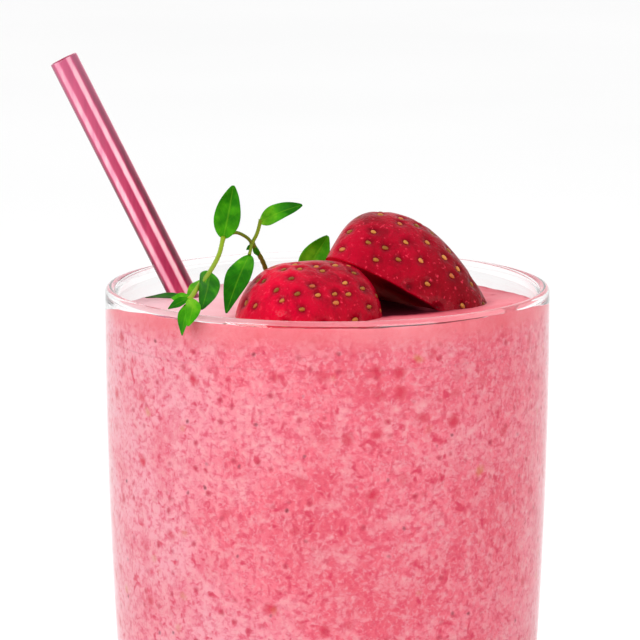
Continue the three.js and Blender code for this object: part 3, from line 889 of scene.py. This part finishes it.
def make_half(name, node, half, materials):
    """A half with a dimple at each seed and a slightly hollow cut face. It returns the seeds' places."""
    rows = (1 - np.cos(np.pi * np.linspace(0.004, 0.996, BERRY_ROWS))) / 2
    angles = np.linspace(-math.pi / 2, math.pi / 2, BERRY_COLUMNS)
    t, angle = np.meshgrid(rows, angles, indexing="ij")
    skin = skin_points(half, t, angle)
    normal = np.cross(np.gradient(skin, axis=0), np.gradient(skin, axis=1))
    normal /= np.linalg.norm(normal, axis=2, keepdims=True)
    if float(np.sum(normal * (skin - np.array(half["centre"])))) < 0:
        normal = -normal
    places = seed_places(half)
    seeds = skin_points(half, *np.array(places).T)
    dimple = np.zeros(t.shape)
    for seed in seeds:
        distance = np.linalg.norm(skin - seed, axis=2)
        dimple = np.maximum(dimple, np.exp(-(distance / DIMPLE_RADIUS) ** 2 * DIMPLE_FALL))
    skin = skin - normal * (dimple * DIMPLE_DEPTH)[..., None]
    place = np.stack([np.ones(t.shape), t, dimple], axis=2).reshape(-1, 3)
    _, up, _ = berry_axes(half)
    inward = np.linspace(1, -1, CUT_COLUMNS)
    share = ((1 - inward) / 2)[None, :, None]
    cut = skin[:, -1:] * (1 - share) + skin[:, :1] * share
    dip = CUT_DIP * (1 - inward ** 4)
    cut = cut + up * dip[None, :, None]
    end_fade = np.clip(np.minimum(rows, 1 - rows) * 6, 0, 1)
    edge = np.maximum(np.abs(inward)[None, :], 1 - end_fade[:, None])
    cut_place = np.stack([edge, np.broadcast_to(rows[:, None], edge.shape), edge * 0], axis=2).reshape(-1, 3)
    points = np.concatenate([skin.reshape(-1, 3), cut.reshape(-1, 3)])
    skin_faces = grid_faces(BERRY_ROWS, BERRY_COLUMNS)
    cut_faces = grid_faces(BERRY_ROWS, CUT_COLUMNS, start=BERRY_ROWS * BERRY_COLUMNS)
    faces = [*skin_faces.tolist(), *cut_faces.tolist()]
    kinds = [0] * len(skin_faces) + [1] * len(cut_faces)
    for row in (0, BERRY_ROWS - 1):
        ring = [row * BERRY_COLUMNS + c for c in range(BERRY_COLUMNS)]
        ring += [BERRY_ROWS * BERRY_COLUMNS + row * CUT_COLUMNS + c for c in range(1, CUT_COLUMNS - 1)]
        faces.append(ring if row == 0 else ring[::-1])
        kinds.append(0)
    body = make_object(name, points, faces, materials, np.concatenate([place, cut_place]), kinds)
    tidy_mesh(body)
    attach(body, "root")
    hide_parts(node)
    return places


def tidy_mesh(made):
    """Joins points that lie together and turns all faces outwards."""
    working = bmesh.new()
    working.from_mesh(made.data)
    bmesh.ops.remove_doubles(working, verts=working.verts, dist=0.004 * MM)
    bmesh.ops.recalc_face_normals(working, faces=working.faces)
    working.to_mesh(made.data)
    working.free()
    made.data.polygons.foreach_set("use_smooth", np.ones(len(made.data.polygons), dtype=bool))


def make_seeds(name, half, places, rng):
    """One mesh of a half's seeds, without those on its edge and those deep in the drink."""
    points, faces, tints = [], [], []
    for t, angle in places:
        if abs(angle) > math.pi / 2 - SEED_LENGTH / half["radius"]:
            continue
        spot, along, normal = surface_frame(half, t, angle)
        if spot.z < drink_level(spot.x, spot.y) - 0.5:
            continue
        turn = rng.uniform(-SEED_TURN, SEED_TURN)
        size = rng.uniform(*SEED_SIZES)
        tint = rng.random()
        forward = (Matrix.Rotation(turn, 3, normal) @ along).normalized()
        side = forward.cross(normal)
        centre = spot - normal * (DIMPLE_DEPTH + SEED_SINK - SEED_HEIGHT * 0.62)
        start = len(points)
        for ring in range(SEED_RINGS + 1):
            polar = math.pi * ring / SEED_RINGS
            lengthwise = -math.cos(polar)
            thick = math.sin(polar) ** 0.8 * (1 - 0.22 * lengthwise)
            for i in range(SEED_SIDES):
                around = 2 * math.pi * i / SEED_SIDES
                p = (
                    centre
                    + forward * (lengthwise * SEED_LENGTH / 2 * size)
                    + side * (thick * math.cos(around) * SEED_WIDTH / 2 * size)
                    + normal * (thick * math.sin(around) * SEED_HEIGHT * size)
                )
                points.append(tuple(p))
                tints.append((tint, 0.0, 0.0))
        for ring in range(SEED_RINGS):
            lower = start + ring * SEED_SIDES
            faces += ring_faces(lower, lower + SEED_SIDES, SEED_SIDES)
    seeds = make_object(name, points, faces, [seed_material()], tints)
    tidy_mesh(seeds)
    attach(seeds, "root")


# Sprig

def above(x, y, over_rim):
    return Vector((x, y, RIM + over_rim))


STEM_DIAMETER = 1.2
# The scene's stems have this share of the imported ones' thickness.
STEM_SHARE = 0.86
STEM_SIDES = 12
STEM_STEPS = 14
LEAF_THICKNESS = 0.4
LEAF_ROWS = 30
LEAF_COLUMNS = 14
STEM_FOOT = above(-10, 9, -14)
FIRST_NODE = above(-14.6, -3, 8.6)
SECOND_NODE = above(-20, -9.5, 10.6)
SPRIG_END = above(-25.6, -33.2, 2.6)
MIDDLE_LEAF_FOOT = above(-15.1, -4.2, 6.5)
BACK_LEAF_FOOT = above(-5, 16.4, -1.4)
# Each stem: how thick, how green, and the points that it runs through.
STEMS = [
    (0.9, 0.3, [STEM_FOOT, above(-10.9, 8, -5), above(-12.2, 3, 2.9), FIRST_NODE]),
    (0.65, 0.4, [FIRST_NODE, above(-15.8, -4, 10), above(-17.8, -6.6, 11.2), SECOND_NODE]),
    (0.85, 0.85, [
        SECOND_NODE, above(-20.7, -14, 8), above(-22.2, -21, 5.9), above(-23.9, -28, 4.5), SPRIG_END,
    ]),
    (0.7, 0.75, [FIRST_NODE, above(-13.6, -3, 10.6), above(-12.9, -3, 13.2)]),
    (0.6, 0.6, [FIRST_NODE, MIDDLE_LEAF_FOOT]),
    (0.8, 0.8, [above(-10.1, 8.9, -12), above(-6.8, 13.2, -7), BACK_LEAF_FOOT]),
]
# Each leaf: stalk end, tip, greatest width, the way its face looks, how far it bows, and how light
# it is at its stalk and at its tip.
LEAVES = [
    (above(-13.1, -3, 12.7), above(-4.9, -6, 16.5), 3.8, (0.2, -0.8, 0.55), 0.7, 0.8, 0.1),
    (above(-20, -9.5, 10.4), above(-18, -11, 20.9), 5.2, (-0.15, -1, 0.1), -0.6, 0.5, 0.3),
    (MIDDLE_LEAF_FOOT, above(-19.3, -14, -3.2), 4.9, (-0.25, -0.95, 0.4), 0.9, 0.5, 0.1),
    (above(-22.2, -21, 5.9), above(-23.3, -33.8, 0.9), 4.5, (0.5, -0.8, 0.6), 0.6, 0.45, 0.15),
    (above(-22.9, -24, 5.2), above(-26.2, -30.5, 1.9), 2.6, (-0.3, -0.5, 0.9), 0.3, 0.75, 0.6),
    (above(-25.2, -32.6, 2.7), above(-34.4, -21.6, 1.1), 1.7, (0.1, -0.6, 0.9), 0.4, 0.3, 0.0),
    (above(-25.4, -33, 2.7), above(-29.1, -31, 2.5), 1.9, (0, -0.9, 0.5), 0.2, 0.6, 0.5),
    (above(-25.8, -33.2, 2.8), above(-29.6, -33.6, 0.9), 1.8, (-0.1, -0.8, 0.6), 0.2, 0.4, 0.1),
    (above(-25.4, -33.4, 2.4), above(-26.9, -36.8, -3.5), 2.7, (-0.5, -0.9, 0.1), 0.6, 0.65, 0.4),
    (above(-24.9, -33.4, 2.8), above(-25.7, -38.1, -1.5), 3.1, (0.3, -1, 0.2), 0.7, 0.7, 0.5),
    (BACK_LEAF_FOOT, above(0.1, 18.5, 6.8), 5.6, (0.05, -1, 0.15), 0.5, 0.7, 0.55),
    (above(-14.4, -3.1, 8.2), above(-15.7, -3.6, 7.4), 1.0, (0, -1, 0.3), 0.0, 0.3, 0.3),
    (above(-14.2, -2.6, 7.8), above(-13.4, -1.8, 5.9), 1.2, (0, -1, 0.3), 0.0, 0.3, 0.3),
]


def leaf_outline(s):
    """The leaf's half width along it, as a share of the greatest."""
    return 0.1 + 0.9 * math.sin(math.pi * s ** 0.78) ** 0.85 if 0 < s < 1 else 0.1


def leaf_mesh(foot, tip, width, face, bow, stalk_tint, tip_tint):
    """A thin wavy leaf with a grooved middle rib: points, faces and shader values."""
    along = tip - foot
    across = Vector(face).cross(along).normalized()
    facing = along.cross(across).normalized()
    front, back, place = [], [], []
    for row in range(LEAF_ROWS + 1):
        s = row / LEAF_ROWS
        arch = bow * math.sin(math.pi * s)
        half = width / 2 * leaf_outline(s)
        thick = LEAF_THICKNESS * (0.55 + 0.45 * math.sin(math.pi * s))
        for column in range(LEAF_COLUMNS + 1):
            side = 2 * column / LEAF_COLUMNS - 1
            cup = 0.12 * width * side * side * math.sin(math.pi * s)
            wave = 0.05 * width * math.sin(9 * s) * side
            rib = -0.03 * width * math.exp(-(side / 0.12) ** 2) * math.sin(math.pi * s)
            ripple = 0.008 * width * math.sin(19 * (s - 0.28 * abs(side))) * math.sin(math.pi * s) * abs(side)
            p = foot + along * s + across * (half * side) + facing * (arch + cup + wave + rib + ripple)
            taper = thick * (1 - 0.75 * side * side)
            front.append(p)
            back.append(p - facing * taper)
            place.append((abs(side), s, stalk_tint + (tip_tint - stalk_tint) * s))
    size = len(front)
    columns = LEAF_COLUMNS + 1
    faces = grid_faces(LEAF_ROWS + 1, columns).tolist()
    faces += grid_faces(LEAF_ROWS + 1, columns, start=size, flip=True).tolist()
    border = list(range(LEAF_COLUMNS))
    border += [row * columns + LEAF_COLUMNS for row in range(LEAF_ROWS)]
    border += [LEAF_ROWS * columns + column for column in range(LEAF_COLUMNS, 0, -1)]
    border += [row * columns for row in range(LEAF_ROWS, 0, -1)]
    for a, b in zip(border, border[1:] + border[:1]):
        faces.append((b, a, a + size, b + size))
    return [tuple(p) for p in front + back], faces, place + place


def spline_point(points, s):
    """A point of the smooth curve through all the points, s from 0 to 1."""
    spans = len(points) - 1
    i = min(int(s * spans), spans - 1)
    u = s * spans - i
    p1, p2 = points[i], points[i + 1]
    p0 = points[i - 1] if i > 0 else p1 * 2 - p2
    p3 = points[i + 2] if i + 2 < len(points) else p2 * 2 - p1
    square = 2 * p0 - 5 * p1 + 4 * p2 - p3
    cube = 3 * p1 - p0 - 3 * p2 + p3
    return 0.5 * (2 * p1 + (p2 - p0) * u + square * u * u + cube * u ** 3)


def stem_mesh(thickness, tint, through):
    """A round stem along a smooth curve, thicker at its ends: points, faces and shader values."""
    steps = STEM_STEPS * (len(through) - 1)
    radius = STEM_DIAMETER / 2 * thickness
    centres = [spline_point(through, i / steps) for i in range(steps + 1)]
    points, faces, place = [], [], []
    side = Vector((0.0, 0.0, 1.0))
    for i, centre in enumerate(centres):
        ahead = (centres[min(i + 1, steps)] - centres[max(i - 1, 0)]).normalized()
        side = side - ahead * side.dot(ahead)
        if side.length < 1e-4:
            side = ahead.orthogonal()
        side.normalize()
        other = ahead.cross(side)
        uneven = 1 + 0.07 * math.sin(2.3 * i) + 0.18 * math.exp(-(min(i, steps - i) / 2.0) ** 2)
        for k in range(STEM_SIDES):
            turn = 2 * math.pi * k / STEM_SIDES
            offset = (side * math.cos(turn) + other * math.sin(turn)) * radius * uneven * STEM_SHARE
            points.append(tuple(centre + offset))
            place.append((0.5, i / steps, tint))
    for i in range(steps):
        faces += ring_faces(i * STEM_SIDES, (i + 1) * STEM_SIDES, STEM_SIDES)
    faces.append(tuple(range(STEM_SIDES))[::-1])
    faces.append(tuple(steps * STEM_SIDES + k for k in range(STEM_SIDES)))
    return points, faces, place


def make_sprig():
    """All leaves and stems in one mesh, with one material for each kind."""
    points, faces, place, kinds = [], [], [], []
    pieces = [(leaf_mesh(*leaf), 0) for leaf in LEAVES]
    pieces += [(stem_mesh(*stem), 1) for stem in STEMS]
    for (some_points, some_faces, some_place), kind in pieces:
        start = len(points)
        points += some_points
        place += some_place
        faces += [tuple(i + start for i in face) for face in some_faces]
        kinds += [kind] * len(some_faces)
    sprig = make_object("thyme_fine", points, faces, [leaf_material(), stem_material()], place, kinds)
    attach(sprig, "root")
    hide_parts("thyme_sprig")


# Stage, light and camera

def make_floor():
    reach = 6000.0
    points = [(x * reach, y * reach, 0.0) for x, y in ((-1, -1), (1, -1), (1, 1), (-1, 1))]
    floor = make_object("floor", points, [(0, 1, 2, 3)], [floor_material()], smooth=False)


def make_world():
    """Soft white light from all round, greyer from the camera's side so that the glass's edges read."""
    world = bpy.data.worlds.new("studio")
    bpy.context.scene.world = world
    world.use_nodes = True
    tree = world.node_tree
    background = tree.nodes["Background"]
    direction = tree.nodes.new("ShaderNodeTexCoord")
    split = tree.nodes.new("ShaderNodeSeparateXYZ")
    ramp = tree.nodes.new("ShaderNodeValToRGB")
    spread = tree.nodes.new("ShaderNodeMapRange")
    spread.inputs["From Min"].default_value = -1.0
    spread.inputs["From Max"].default_value = 1.0
    tree.links.new(direction.outputs["Generated"], split.inputs[0])
    tree.links.new(split.outputs["Y"], spread.inputs["Value"])
    tree.links.new(spread.outputs[0], ramp.inputs["Fac"])
    tree.links.new(ramp.outputs["Color"], background.inputs["Color"])
    ramp.color_ramp.elements[0].position = 0.1
    ramp.color_ramp.elements[0].color = (WORLD_FRONT_TONE, WORLD_FRONT_TONE, WORLD_FRONT_TONE, 1.0)
    ramp.color_ramp.elements[1].position = 0.55
    ramp.color_ramp.elements[1].color = (1.0, 1.0, 1.0, 1.0)
    background.inputs["Strength"].default_value = WORLD_STRENGTH


def area_light(name, place, target, size, power):
    data = bpy.data.lights.new(name, "AREA")
    data.shape = "RECTANGLE"
    data.size = size[0] * MM
    data.size_y = size[1] * MM
    data.energy = power
    light = bpy.data.objects.new(name, data)
    light.location = Vector(place) * MM
    light.rotation_euler = (Vector(target) - Vector(place)).to_track_quat("-Z", "Y").to_euler()
    bpy.context.scene.collection.objects.link(light)


def make_lights():
    middle = (0.0, 0.0, RIM)
    area_light("key", (-700.0, -750.0, 520.0), middle, (420.0, 420.0), KEY_POWER)
    area_light("fill", (700.0, -800.0, 300.0), middle, (600.0, 600.0), FILL_POWER)


def make_camera():
    """The camera keeps the rim's middle at its place in the photograph."""
    data = bpy.data.cameras.new("camera")
    focal_pixels = VIEW_DISTANCE / MM_PER_PIXEL
    data.sensor_width = SENSOR_WIDTH
    data.lens = SENSOR_WIDTH * focal_pixels / IMAGE_PIXELS
    data.clip_start = 0.01
    data.clip_end = 50.0
    camera = bpy.data.objects.new("camera", data)
    flat = VIEW_DISTANCE * math.cos(VIEW_ELEVATION)
    camera.location = Vector((0.0, -flat, RIM + VIEW_DISTANCE * math.sin(VIEW_ELEVATION))) * MM
    middle = IMAGE_PIXELS / 2
    pitch = VIEW_ELEVATION + math.atan((middle - RIM_CENTRE_PIXEL[1]) / focal_pixels)
    turn = math.atan((RIM_CENTRE_PIXEL[0] - middle) / focal_pixels)
    camera.rotation_euler = (math.pi / 2 - pitch, 0.0, turn)
    bpy.context.scene.collection.objects.link(camera)
    bpy.context.scene.camera = camera


def main():
    rng = random.Random(7)
    make_camera()
    make_world()
    make_lights()
    make_floor()
    make_glass()
    drink_side = make_drink([LEFT_HALF, RIGHT_HALF])
    make_film(drink_side)
    make_straw()
    berry_materials = [skin_material(), flesh_material()]
    for side, half in (("left", LEFT_HALF), ("right", RIGHT_HALF)):
        places = make_half("berry_" + side, "strawberry_half_" + side, half, berry_materials)
        make_seeds("seeds_" + side, half, places, rng)
    make_sprig()
    bpy.context.scene.view_settings.view_transform = "Standard"


main()
